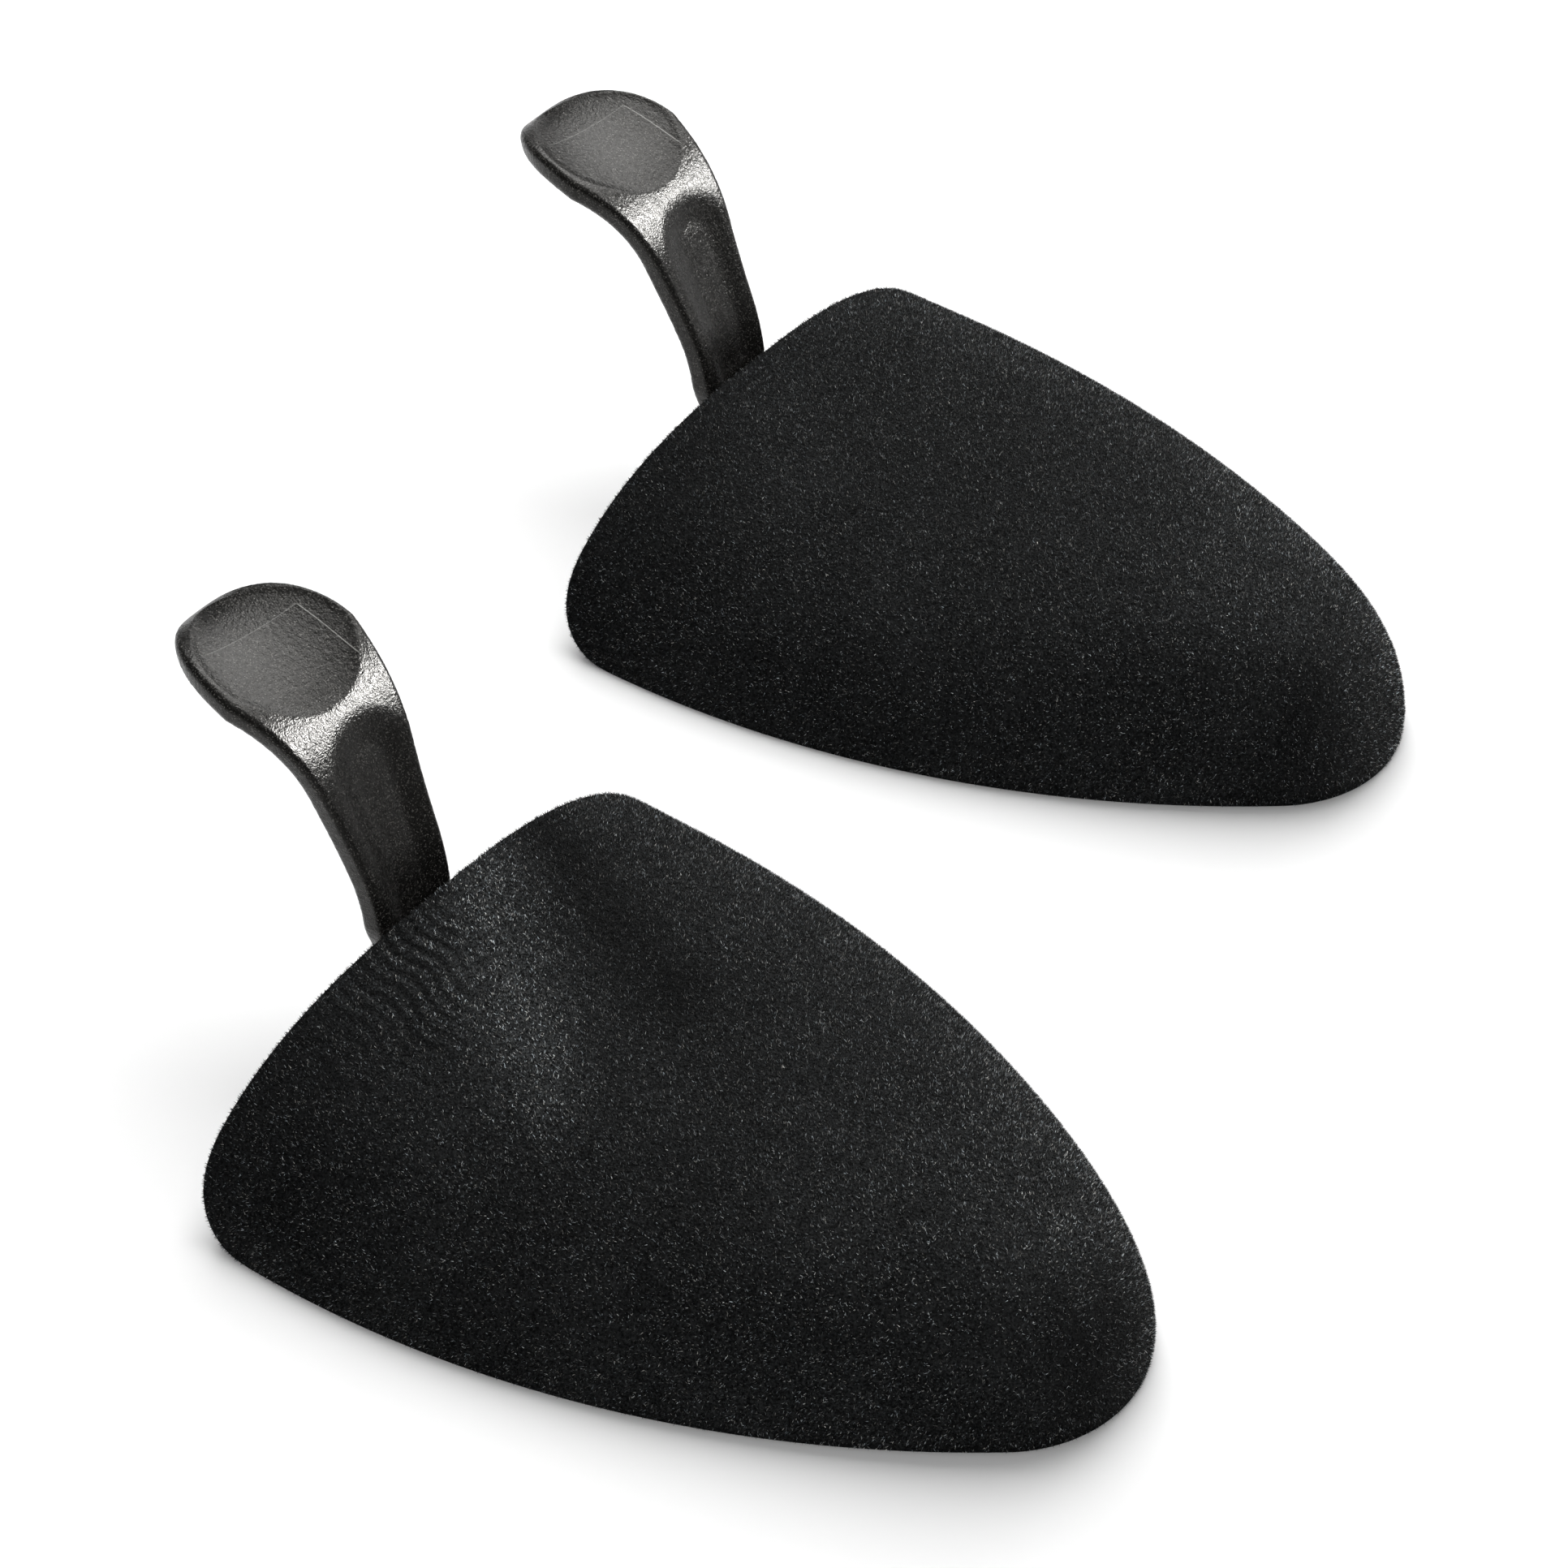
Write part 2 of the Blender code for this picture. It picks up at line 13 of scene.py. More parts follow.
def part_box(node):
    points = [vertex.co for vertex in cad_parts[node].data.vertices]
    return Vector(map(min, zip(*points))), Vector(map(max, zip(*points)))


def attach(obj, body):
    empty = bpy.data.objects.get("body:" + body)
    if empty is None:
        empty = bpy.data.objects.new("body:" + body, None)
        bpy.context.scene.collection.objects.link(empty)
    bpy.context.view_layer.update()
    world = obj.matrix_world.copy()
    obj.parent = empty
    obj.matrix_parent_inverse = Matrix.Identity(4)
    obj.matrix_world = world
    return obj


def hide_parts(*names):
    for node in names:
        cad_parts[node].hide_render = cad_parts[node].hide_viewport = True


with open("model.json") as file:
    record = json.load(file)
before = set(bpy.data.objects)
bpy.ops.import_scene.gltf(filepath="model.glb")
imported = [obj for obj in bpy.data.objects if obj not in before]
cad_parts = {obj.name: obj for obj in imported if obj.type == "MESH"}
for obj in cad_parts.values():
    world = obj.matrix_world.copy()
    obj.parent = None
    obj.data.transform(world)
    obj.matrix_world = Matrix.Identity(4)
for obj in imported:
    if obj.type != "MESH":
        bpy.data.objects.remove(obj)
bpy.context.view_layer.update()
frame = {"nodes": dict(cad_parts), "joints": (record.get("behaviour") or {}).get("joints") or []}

MM = 0.001
MERGE = 2e-6  # points closer than this are one point

# Plan and arch of the toe shell, as in the CAD.
CORNER = 8.0 * MM
CORNER_POWER = 3.7
TOE = 15.5 * MM
REAR_CROWN = 17.3 * MM
TOE_CROWN = 19.7 * MM
CROWN_DIP = 1.2 * MM
NOSE_POWER = 16.0
ARCH_POWER = 2.72
ARCH_ROOT = 1.69
SPINE_END = 71.5 * MM
TOE_CROWDING = 1.25
SHELL_MIDDLE = np.array([45.0, 0.0, 0.0]) * MM

# Layers of the shell, from the outside inwards, each with its sheet's rows and columns.
SKIN_SINK = 0.30 * MM
FLOCK_THICKNESS = 0.70 * MM
SKIN_GRID = (90, 180)
SKIN_EDGE = 0.5
SHELL_OUTER = 1.0 * MM
SHELL_THICKNESS = 1.8 * MM
SHELL_INNER = SHELL_OUTER + SHELL_THICKNESS
SHELL_GRID = (40, 90)
SHELL_EDGE = 0.12
EDGE_STEPS = 6

# Flock.
COATS = 4
COAT_FIBRES = 49000
STRAY_FIBRES = 1500
SPARE = 2.4  # samples drawn for each fibre, since only those on the outer face are kept
FIBRE_LENGTH = (0.22 * MM, 0.42 * MM)
FIBRE_WIDTH = (0.05 * MM, 0.09 * MM)
LOWEST_ROOT = 0.12 * MM
LOWEST_TIP = 0.03 * MM
TUFT = 0.38 * MM
# Share of fibres whose colour carries a painted glint.
BRIGHT_SHARE = 0.25
NAP_LEAN = np.array([-0.30, 0.10, 0.0])

# Hinge.
PIVOT = Vector((4.5 * MM, 0.0, 6.6 * MM))
BORE_RADIUS = 1.6 * MM
BARREL_RADIUS = 4.0 * MM
BARREL_WIDTH = 8.4 * MM
BARREL_CHAMFER = 0.3 * MM
BARREL_STEPS = 64
LUG_MIDDLE = 6.45 * MM
LUG_THICKNESS = 2.5 * MM
LUG_RADIUS = 4.2 * MM
LUG_FRONT = 15.0 * MM
LUG_CHAMFER = 0.25 * MM

# Stiffening rib.
RIB_START = 18.0 * MM
RIB_END = 74.0 * MM
RIB_THICKNESS = 1.8 * MM
RIB_DEPTH = 4.5 * MM
RIB_LAP = 0.05 * MM
RIB_STATIONS = 40

# Handle centre line from the pivot, as stretches: (radius, turn) or, where straight, (None, length).
HANDLE_LINE = (
    (6.55 * MM, radians(-87.0)),
    (None, 2.75 * MM),
    (24.0 * MM, radians(18.5)),
    (None, 9.5 * MM),
    (14.6 * MM, radians(38.5)),
    (19.1 * MM, radians(47.0)),
)

# Handle sections.
HANDLE_THICKNESS = 3.1 * MM
ROOT_WIDTH = 8.0 * MM
NECK_WIDTH = 11.2 * MM
SPOON_WIDTH = 19.0 * MM
BAR_START = 2.3 * MM  # inside the barrel, clear of its bore
NECK_AT = 13.7 * MM
SPOON_AT = 42.5 * MM
TIP_THINNING = 0.72
FRONT_ROUNDING = 0.75 * MM
SHANK_ROUNDING = 1.00 * MM
HEAD_ROUNDING = 1.45 * MM
RINGS = 361
FACE_COLUMNS = 111
BACK_COLUMNS = 13
ROUND_COLUMNS = 9
GRAIN_SLOPE = 0.12
GRAIN_REACH = (0.02 * MM, 0.16 * MM)

# Handle relief: the trough up the shank, and the oval thumb dish.
TROUGH_START = 9.0 * MM
TROUGH_TOP = 35.4 * MM
TROUGH_DEPTH = 0.95 * MM
TROUGH_SHARE = 0.84
DISH_MIDDLE = 45.6 * MM
DISH_REACH = 8.9 * MM
DISH_RIM = 0.75 * MM
DISH_DEPTH = 1.00 * MM
DISH_STEP = 0.10 * MM
DISH_POWER = 2.3

# The mould insert's mark in the dish, in millimetres along and across the handle.
INSERT_END = 48.1
INSERT_FLANK = 6.3
INSERT_SKEW = 0.13


def smooth(t):
    t = np.clip(t, 0, 1)
    return t * t * (3 - 2 * t)


# ---------------------------------------------------------------- toe shell surface


class Arch:
    """The toe shell's surface family in its own frame: rear edge at x = 0, toe towards +X."""

    def __init__(self, node):
        low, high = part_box(node)
        self.length = high.x - low.x
        self.width = high.y - low.y
        half = self.width / 2
        along = self.length - TOE - CORNER
        self.side = (along**2 + half**2 - TOE**2) / (2 * (half - TOE))
        self.side_centre = np.array([CORNER, half - self.side])
        self.toe_centre = np.array([self.length - TOE, 0.0])
        away = self.toe_centre - self.side_centre
        self.join_angle = atan2(away[1], away[0])
        self.join_x = self.toe_centre[0] + TOE * cos(self.join_angle)

    def half_width(self, x):
        side = self.side_centre[1] + np.sqrt(np.maximum(self.side**2 - (x - CORNER) ** 2, 0))
        toe = np.sqrt(np.maximum(TOE**2 - (x - self.toe_centre[0]) ** 2, 0))
        return np.where(x <= CORNER, self.width / 2, np.where(x <= self.join_x, side, toe))

    def height(self, x, y, inset):
        share = np.clip(x / (self.length - inset), 0, 1)
        line = REAR_CROWN + (TOE_CROWN - REAR_CROWN) * share - 4 * CROWN_DIP * share * (1 - share)
        crown = (line - inset) * (1 - share**NOSE_POWER) ** (1 / ARCH_ROOT)
        half = np.maximum(self.half_width(x) - inset, 1e-9)
        across = np.clip(np.abs(y) / half, 0, 1)
        return crown * (1 - across**ARCH_POWER) ** (1 / ARCH_ROOT)

    def rim(self, inset, shares):
        """Points of the left rim at shares of its length, from the widest point to the toe."""
        a = np.linspace(pi / 2, self.join_angle, 400)
        b = np.linspace(self.join_angle, 0, 200)[1:]
        side = self.side_centre + (self.side - inset) * np.stack([np.cos(a), np.sin(a)], 1)
        toe = self.toe_centre + (TOE - inset) * np.stack([np.cos(b), np.sin(b)], 1)
        line = np.concatenate([side, toe])
        run = np.concatenate([[0], np.cumsum(np.linalg.norm(np.diff(line, axis=0), axis=1))])
        at = shares * run[-1]
        return np.stack([np.interp(at, run, line[:, 0]), np.interp(at, run, line[:, 1])], 1)

    def sheet(self, inset, grid):
        """A grid of points over the surface at inset: shape (2 * columns + 1, rows + 1, 3).

        Columns run from the left rear corner round the toe to the right one, rows from the spine to the rim.
        """
        rows, columns = grid
        across = np.sin(np.linspace(0, pi / 2, rows + 1))
        along = np.linspace(0, 1, columns + 1)
        rim = self.rim(inset, 1 - (1 - along) ** TOE_CROWDING)
        half = self.width / 2 - inset
        past = np.clip((across * half - (half - CORNER)) / CORNER, 0, 1)
        x_rear = CORNER * (1 - (1 - past**CORNER_POWER) ** (1 / CORNER_POWER))
        end = SPINE_END - inset
        x = end * along[:, None] * (1 - across) + rim[:, 0:1] * across
        y = rim[:, 1:2] * across
        # The rear corner's rounding fades out over the columns next to the rear edge.
        x = x + (x_rear - across * CORNER) * (1 - along[:, None]) ** 6
        z = self.height(x, y, inset)
        z[:, -1] = 0.0
        left = np.stack([x, y, z], 2)
        right = left[::-1] * np.array([1, -1, 1])
        return np.concatenate([left, right[1:]])


def hinge(side):
    return next(j for j in frame["joints"] if j["name"] == side + "_handle_hinge")


def handle_matrix(side, matrix):
    """Where the handle stands at rest: the hinge's range starts upright, so its lower end is the lean."""
    lean = radians(hinge(side)["range_deg"][0])
    turn = Matrix.Rotation(lean, 4, "Y")
    return matrix @ Matrix.Translation(PIVOT) @ turn @ Matrix.Translation(-PIVOT)


def unit_matrix(side):
    """Where one shaper's own frame stands: its hinge gives the place, and the hinge's axis the turn."""
    joint = hinge(side)
    turn = atan2(joint["axis"][0], -joint["axis"][1])
    rotation = Matrix.Rotation(turn, 4, "Z")
    return Matrix.Translation(Vector(joint["pos_m"])) @ rotation @ Matrix.Translation(-PIVOT)


# ---------------------------------------------------------------- mesh helpers


def add_mesh(name, points, faces, matrix, body, smooth_faces=True):
    mesh = bpy.data.meshes.new(name)
    mesh.from_pydata([tuple(p) for p in points], [], [tuple(f) for f in faces])
    bm = bmesh.new()
    bm.from_mesh(mesh)
    bmesh.ops.remove_doubles(bm, verts=bm.verts, dist=MERGE)
    bmesh.ops.recalc_face_normals(bm, faces=bm.faces)
    bm.to_mesh(mesh)
    bm.free()
    mesh.transform(matrix)
    if smooth_faces:
        mesh.shade_smooth()
    obj = bpy.data.objects.new(name, mesh)
    bpy.context.scene.collection.objects.link(obj)
    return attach(obj, body)


def add_attribute(mesh, name, values):
    attribute = mesh.attributes.new(name, "FLOAT", "POINT")
    attribute.data.foreach_set("value", values.astype(np.float32))


def local_points(mesh, matrix):
    """The mesh's points in the shaper's own frame."""
    inverse = matrix.inverted()
    return np.array([inverse @ v.co for v in mesh.vertices])


def grid_faces(columns, rows, start=0, flip=False):
    """Quads of a grid of columns x rows points, numbered column by column."""
    i, j = np.meshgrid(np.arange(columns - 1), np.arange(rows - 1), indexing="ij")
    a = start + (i * rows + j).ravel()
    quads = np.stack([a, a + rows, a + rows + 1, a + 1], 1)
    return quads[:, ::-1] if flip else quads


def closed_wall(outer, inner, bulge):
    """Points and faces of the solid between two sheets, with its rear edge rounded outwards by bulge."""
    columns, rows = outer.shape[:2]

    def border(sheet):
        return np.concatenate([sheet[0], sheet[1:-1, -1], sheet[-1, ::-1]])

    start = border(outer)
    span = border(inner) - start
    backwards = np.zeros_like(start)
    backwards[:rows, 0] = -1
    backwards[-rows:, 0] = -1
    reach = bulge * np.linalg.norm(span, axis=1)[:, None]
    shares = [k / EDGE_STEPS for k in range(EDGE_STEPS + 1)]
    loops = np.array([start + span * t + backwards * sin(pi * t) * reach for t in shares])
    points = [outer.reshape(-1, 3), inner.reshape(-1, 3), loops.reshape(-1, 3)]
    faces = [
        grid_faces(columns, rows),
        grid_faces(columns, rows, columns * rows, flip=True),
        grid_faces(len(loops), len(start), 2 * columns * rows),
    ]
    return np.concatenate(points), np.concatenate(faces)


# ---------------------------------------------------------------- materials


class Nodes:
    """A short way to write a node tree."""

    def __init__(self, name):
        self.material = bpy.data.materials.new(name)
        self.material.use_nodes = True
        self.tree = self.material.node_tree
        self.shader = self.tree.nodes["Principled BSDF"]

    def add(self, kind, **settings):
        node = self.tree.nodes.new(kind)
        inputs = settings.pop("inputs", {})
        for key, value in settings.items():
            setattr(node, key, value)
        for key, value in inputs.items():
            self.put(node.inputs[key], value)
        return node

    def put(self, socket, value):
        if isinstance(value, bpy.types.NodeSocket):
            self.tree.links.new(value, socket)
        else:
            socket.default_value = value

    def set(self, **inputs):
        for key, value in inputs.items():
            self.put(self.shader.inputs[key.replace("_", " ")], value)

    def position(self):
        return self.add("ShaderNodeTexCoord").outputs["Object"]

    def attribute(self, name):
        return self.add("ShaderNodeAttribute", attribute_name=name).outputs["Fac"]

    def noise(self, scale, detail=2.0, rough=0.5, where=None, distortion=0.0):
        node = self.add("ShaderNodeTexNoise", inputs={"Scale": scale, "Detail": detail, "Roughness": rough})
        node.inputs["Distortion"].default_value = distortion
        self.put(node.inputs["Vector"], where or self.position())
        return node.outputs["Fac"]

    def spread(self, value, low, high, to_low=0.0, to_high=1.0):
        """The value's run from low to high, as a run from to_low to to_high."""
        node = self.add("ShaderNodeMapRange", inputs={"Value": value})
        node.inputs["From Min"].default_value = low
        node.inputs["From Max"].default_value = high
        node.inputs["To Min"].default_value = to_low
        node.inputs["To Max"].default_value = to_high
        return node.outputs["Result"]

    def below(self, value, edge, breadth=0.1):
        """1 where the value is below the edge, and 0 above it."""
        return self.spread(value, edge - breadth, edge + breadth, 1.0, 0.0)

    def math(self, operation, a, b=0.0):
        node = self.add("ShaderNodeMath", operation=operation)
        self.put(node.inputs[0], a)
        self.put(node.inputs[1], b)
        return node.outputs[0]

    def product(self, first, *others):
        for other in others:
            first = self.math("MULTIPLY", first, other)
        return first

    def weighted(self, a, share_a, b, share_b):
        return self.math("ADD", self.math("MULTIPLY", a, share_a), self.math("MULTIPLY", b, share_b))

    def gap(self, value, middle):
        return self.math("ABSOLUTE", self.math("SUBTRACT", value, middle))

    def ramp(self, value, *stops):
        node = self.add("ShaderNodeValToRGB", inputs={"Fac": value})
        elements = node.color_ramp.elements
        for element, (at, colour) in zip(elements, stops):
            element.position = at
            element.color = (*colour, 1.0)
        return node.outputs["Color"]

    def scaled(self, colour, factor):
        node = self.add("ShaderNodeVectorMath", operation="SCALE", inputs={0: colour})
        self.put(node.inputs["Scale"], factor)
        return node.outputs["Vector"]

    def over(self, colour, factor, other):
        """The colour, replaced by the other one where the factor is 1."""
        node = self.add("ShaderNodeMix", data_type="RGBA", inputs={"Factor": factor})
        self.put(node.inputs["A"], colour)
        node.inputs["B"].default_value = (*other, 1.0)
        return node.outputs["Result"]

    def bump(self, height, distance, strength=1.0):
        inputs = {"Height": height, "Distance": distance, "Strength": strength}
        return self.add("ShaderNodeBump", inputs=inputs).outputs["Normal"]


def skin_material():
    """The dark bed between the flock fibres."""
    n = Nodes("flock_bed")
    fine = n.noise(3600.0, 2.0, 0.6)
    patch = n.noise(70.0, 3.0)
    shade = n.weighted(fine, 0.8, patch, 0.2)
    colour = n.ramp(shade, (0.40, (0.0028, 0.0030, 0.0031)), (0.66, (0.0190, 0.0200, 0.0204)))
    # The tone attribute paints light, shade and sheen into the bed's colour, and on the right shaper also its
    # wear.
    n.set(
        Base_Color=n.scaled(colour, n.attribute("tone")),
        Roughness=0.95,
        Specular_IOR_Level=0.04,
        Normal=n.bump(fine, 0.0004, 0.8),
    )
    return n.material


def nap_material():
    """Flock fibres: each carries its own shade, which slow noise then mottles."""
    n = Nodes("flock_fibre")
    where = n.position()
    # The shade attribute holds each fibre's colour: painted glints on the bright fibres, scaled by the tone's
    # painted light and shade.
    shade = n.attribute("shade")
    clump = n.spread(n.noise(650.0, 2.0, 0.6, where), 0.3, 0.7, 0.55, 1.45)
    patch = n.spread(n.noise(110.0, 3.0, 0.6, where), 0.3, 0.7, 0.85, 1.15)
    hue = n.ramp(n.noise(1900.0, 1.0, 0.5, where), (0.35, (0.88, 1.0, 1.08)), (0.65, (1.03, 1.0, 0.93)))
    n.set(
        Base_Color=n.scaled(hue, n.product(clump, patch, shade)),
        Roughness=n.spread(shade, 0.0, 0.2, 0.75, 0.50),
        Specular_IOR_Level=n.spread(shade, 0.0, 0.2, 0.03, 0.20),
    )
    return n.material


def insert_mark(n):
    """Masks of the mould insert's mark in the dish: its area, and the two fine lines that bound it."""
    along, across = n.attribute("along"), n.attribute("across")
    skew = n.math("ADD", along, n.math("MULTIPLY", across, INSERT_SKEW))
    within_end, within_flank = n.below(skew, INSERT_END - 0.1), n.below(across, INSERT_FLANK)
    area = n.product(within_end, within_flank, n.spread(along, 37.0, 38.5))
    crosswise = n.spread(n.gap(skew, INSERT_END), 0.03, 0.09, 0.35, 0.0)
    crosswise = n.product(crosswise, within_flank, n.spread(across, -6.0, -5.0))
    lengthwise = n.spread(n.gap(across, INSERT_FLANK), 0.03, 0.09, 1.0, 0.0)
    lengthwise = n.product(lengthwise, within_end, n.spread(along, 39.0, 39.6))
    return area, n.math("MAXIMUM", crosswise, lengthwise)


def handle_material():
    """Black moulded plastic: a coarse spark-eroded grain, its glints painted in as light specks, and a
    smoother oblong left by a mould insert.
    """
    n = Nodes("handle_plastic")
    where = n.position()
    grain = n.noise(5600.0, 1.0, 0.5, where)
    # Light specks painted into the colour stand for the grain's glints.
    glint_specks = n.spread(n.noise(5200.0, 1.0, 0.5, where), 0.58, 0.70)
    coarse = n.noise(1700.0, 2.0, 0.6, where)
    patch = n.noise(140.0, 3.0, 0.6, where)
    area, lines = insert_mark(n)
    height = n.math("MULTIPLY", n.weighted(grain, 0.85, coarse, 0.15), n.spread(area, 0.0, 1.0, 1.0, 0.8))
    colour = n.ramp(patch, (0.3, (0.0030, 0.0028, 0.0025)), (0.7, (0.0056, 0.0053, 0.0047)))
    colour = n.over(colour, lines, (0.22, 0.22, 0.21))
    n.set(
        Base_Color=n.over(colour, glint_specks, (0.085, 0.082, 0.076)),
        Roughness=n.spread(coarse, 0.3, 0.7, 0.20, 0.32),
        Specular_IOR_Level=0.18,
        Specular_Tint=(1.0, 0.98, 0.94, 1.0),
        Normal=n.bump(height, 0.00006),
    )
    return n.material


def shell_material():
    """Plain moulded plastic, with the faint swirl of its flow."""
    n = Nodes("shell_plastic")
    where = n.position()
    swirl = n.noise(60.0, 4.0, 0.6, where, 1.5)
    grain = n.noise(1500.0, 2.0, 0.6, where)
    n.set(
        Base_Color=n.ramp(swirl, (0.3, (0.012, 0.012, 0.0125)), (0.7, (0.022, 0.022, 0.0225))),
        Roughness=n.spread(swirl, 0.3, 0.7, 0.42, 0.58),
        Normal=n.bump(grain, 0.00006, 0.5),
    )
    return n.material


def steel_material():
    n = Nodes("pin_steel")
    scratch = n.noise(900.0, 3.0, 0.6)
    n.set(
        Base_Color=n.ramp(scratch, (0.3, (0.46, 0.46, 0.47)), (0.7, (0.62, 0.62, 0.63))),
        Metallic=1.0,
        Roughness=n.spread(scratch, 0.3, 0.7, 0.22, 0.42),
        Normal=n.bump(scratch, 0.00003, 0.5),
    )
    return n.material


def nylon_material():
    n = Nodes("washer_nylon")
    mottle = n.noise(700.0, 3.0, 0.6)
    n.set(
        Base_Color=n.ramp(mottle, (0.3, (0.52, 0.50, 0.44)), (0.7, (0.62, 0.60, 0.54))),
        Roughness=n.spread(mottle, 0.3, 0.7, 0.42, 0.58),
        Subsurface_Weight=0.05,
        Normal=n.bump(mottle, 0.00003, 0.5),
    )
    return n.material


def floor_material():
    n = Nodes("floor_white")
    mottle = n.noise(3.0, 2.0)
    n.set(
        Base_Color=n.ramp(mottle, (0.3, (0.86, 0.86, 0.86)), (0.7, (0.88, 0.88, 0.88))),
        Roughness=0.9,
        Specular_IOR_Level=0.0,
    )
    return n.material


def paint(obj, material):
    obj.data.materials.clear()
    obj.data.materials.append(material)


# ---------------------------------------------------------------- flock


def make_skin(side, arch, matrix, material):
    outer = arch.sheet(SKIN_SINK, SKIN_GRID)
    inner = arch.sheet(FLOCK_THICKNESS, SKIN_GRID)
    points, faces = closed_wall(outer, inner, SKIN_EDGE)
    obj = add_mesh(side + "_flock_skin", points, faces, matrix, "shells")
    # The tone holds painted light and shade, and the right shaper's wear.
    add_attribute(obj.data, "tone", tone_at(side, local_points(obj.data, matrix)))
    paint(obj, material)
    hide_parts(side + "_flock_cover")
    return obj


def stripe(x, y, start, end, breadth):
    """1 on the segment from start to end, fading to 0 about a breadth away."""
    start, end = np.array(start), np.array(end)
    run = end - start
    share = np.clip(((x - start[0]) * run[0] + (y - start[1]) * run[1]) / (run @ run), 0, 1)
    gap = np.hypot(x - start[0] - share * run[0], y - start[1] - share * run[1])
    return np.exp(-((gap / breadth) ** 2))


def blob(x, y, centre, reach):
    """1 at the centre, fading to 0 over reach, which may differ along and across."""
    return np.exp(-(((x - centre[0]) / reach[0]) ** 2 + ((y - centre[1]) / reach[1]) ** 2))


def tone_at(side, points):
    """How bright the pile is painted at points in the shaper's own frame: 1 is the plain pile.

    Places and reaches are in millimetres.
    """
    x, y = points[:, 0] / MM, points[:, 1] / MM
    # Painted light and shade: the pile is lighter towards the toe and on the −Y side, and darker at the rear
    # −Y corner.
    tone = 1.0 + 0.40 * smooth((x - 42) / 30) + 0.15 * smooth((-y - 10) / 12)
    tone -= 0.35 * blob(x, y, (3.0, -25.0), (10.0, 11.0))
    # Then each shaper's own patches of painted light and shade, and on the right one its wear.
    light_and_wear_at = right_wear_and_light if side == "right" else left_light_and_shade
    return np.clip(tone + light_and_wear_at(x, y), 0.3, 3.2)


def right_wear_and_light(x, y):
    """Under the handle: a bright stripe of rubbed pile with its sheen painted in, over ruffled pile painted
    with ripples of sheen and shade, and a darker stripe beside it. On the toe: a painted highlight, and
    painted shade at its tip.
    """
    # Rubbed pile, painted brighter for its sheen; across the ruffled pile, ripples of painted sheen and
    # shade.
    rubbed_and_sheen = stripe(x, y, (1.0, 8.0), (27.0, -14.0), 4.4)
    ruffled = blob(x, y, (7.0, -5.0), (10.0, 11.0))
    waves = 0.5 + 0.5 * np.sin((y + 0.22 * x + 0.5 * np.sin(0.7 * x)) * 3.4)
    painted_light_and_wear = 1.75 * rubbed_and_sheen + 3.2 * ruffled * (waves - 0.34) * (1 - 0.5 * rubbed_and_sheen)
    painted_light_and_wear -= 0.60 * stripe(x, y, (2.0, 17.0), (28.0, 6.0), 5.0)
    # A painted highlight on the toe, and painted shade at the tip, where the nose turns down.
    painted_light_and_wear += 0.60 * blob(x, y, (79.5, 3.0), (4.5, 5.5))
    return painted_light_and_wear - 0.75 * blob(x, y, (86.5, -3.0), (3.5, 8.0))


def left_light_and_shade(x, y):
    """The other shaper is hardly worn: a painted highlight on its toe, painted shade beside it, and a broad
    darker patch over the middle.
    """
    # A painted highlight and painted shade on the toe; the middle is darker.
    painted_light_and_wear = 0.50 * blob(x, y, (84.5, 5.0), (3.0, 6.0))
    painted_light_and_wear -= 0.35 * blob(x, y, (83.0, -9.0), (5.0, 6.0))
    return painted_light_and_wear - 0.15 * blob(x, y, (35.0, 0.0), (30.0, 25.0))


def sample_surface(mesh, count, rng):
    """Random points on the mesh, even by area, with their normals."""
    mesh.calc_loop_triangles()
    corners = np.empty(len(mesh.loop_triangles) * 3, np.int32)
    mesh.loop_triangles.foreach_get("vertices", corners)
    corners = corners.reshape(-1, 3)
    place = np.empty(len(mesh.vertices) * 3)
    mesh.vertices.foreach_get("co", place)
    place = place.reshape(-1, 3)
    normal = np.empty(len(mesh.vertices) * 3)
    mesh.vertices.foreach_get("normal", normal)
    normal = normal.reshape(-1, 3)
    a, b, c = (place[corners[:, k]] for k in range(3))
    area = np.linalg.norm(np.cross(b - a, c - a), axis=1)
    pick = rng.choice(len(corners), count, p=area / area.sum())
    u, v = rng.random((2, count))
    over = u + v > 1
    u[over], v[over] = 1 - u[over], 1 - v[over]
    weights = np.stack([1 - u - v, u, v], 1)[:, :, None]
    at = (place[corners[pick]] * weights).sum(1)
    out = (normal[corners[pick]] * weights).sum(1)
    return at, out / np.linalg.norm(out, axis=1)[:, None]


def outer_roots(skin, matrix, count, rng):
    """Places for fibres on the skin's outer face, their normals, and the places in the shaper's own frame."""
    at, out = sample_surface(skin.data, int(count * SPARE), rng)
    inverse = np.array(matrix.inverted())
    local = at @ inverse[:3, :3].T + inverse[:3, 3]
    local_out = out @ inverse[:3, :3].T
    keep = ((local - SHELL_MIDDLE) * local_out).sum(1) > 0
    keep &= local[:, 2] > LOWEST_ROOT
    return at[keep][:count], out[keep][:count], local[keep][:count]


def tufts(points, rng):
    """One random level for each small cell of the pile, so that the fibres in it shade together."""
    cells = np.floor(points / TUFT).astype(np.int64)
    which = np.unique(cells, axis=0, return_inverse=True)[1].ravel()
    return rng.normal(0, 1, which.max() + 1)[which]


def fibre_directions(out, loose, rng):
    """Fibres stand off the surface, combed one way and spread by the loose amount."""
    along = out + rng.normal(0, loose, (len(out), 3)) + NAP_LEAN
    dip = (along * out).sum(1)
    along += out * np.maximum(0.25 - dip, 0)[:, None]
    return along / np.linalg.norm(along, axis=1)[:, None]


